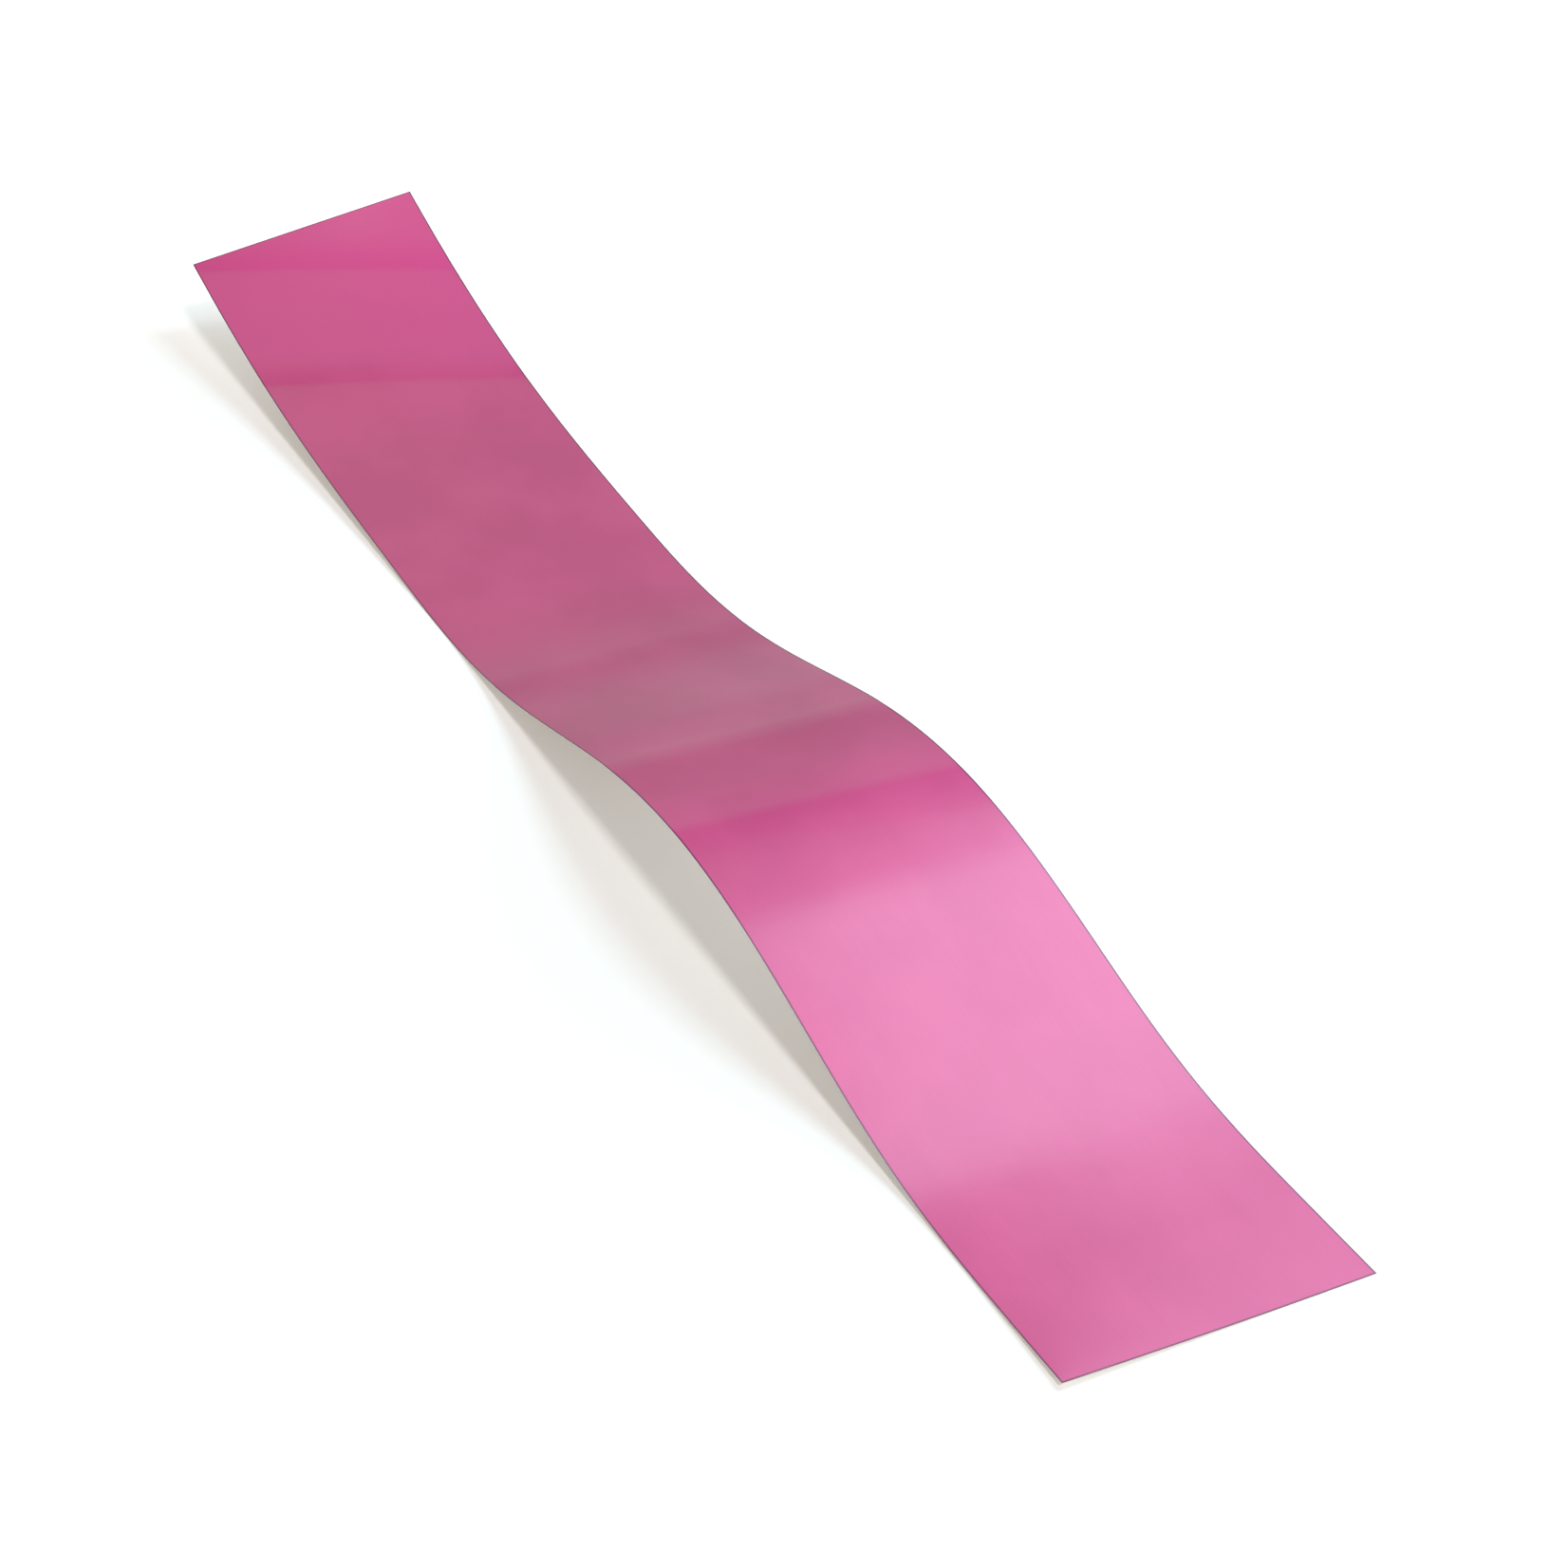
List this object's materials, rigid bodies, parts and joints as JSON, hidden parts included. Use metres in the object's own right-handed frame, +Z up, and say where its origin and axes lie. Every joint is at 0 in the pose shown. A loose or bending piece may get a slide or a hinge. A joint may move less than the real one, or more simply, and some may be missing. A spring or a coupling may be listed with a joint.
{
  "type": "self-adhesive trim film strip",
  "caption": "Long thin strip of pink metallised self-adhesive trim film on a white paper release liner, lying in a relaxed wave; the film lifts off the liner.",
  "frame": {"origin": "bottom centre of the whole strip's bounding box, on the table that it lies on", "axes": "+X along the strip, from the end that lies flat to the end that lifts; +Y to the strip's left, the side whose far corner hangs lower; +Z up from the liner's underside to the film's face"},
  "size_m": [0.9056, 0.127, 0.0648],
  "materials": {
    "release_paper": "smooth silicone-coated paper, white",
    "clear_adhesive": "clear, slightly yellow acrylic pressure-sensitive adhesive",
    "pink_metallised_film": "satin pink metallised polyester film"
  },
  "bodies": {
    "liner": {"release_liner": "release_paper"},
    "film": {"face_film": "pink_metallised_film", "adhesive_layer": "clear_adhesive"}
  },
  "joints": [
    {"name": "film_lift_off", "type": "slide", "parent": "liner", "child": "film", "axis": [0, 0, 1], "range_m": [0, 0.08]}
  ]
}
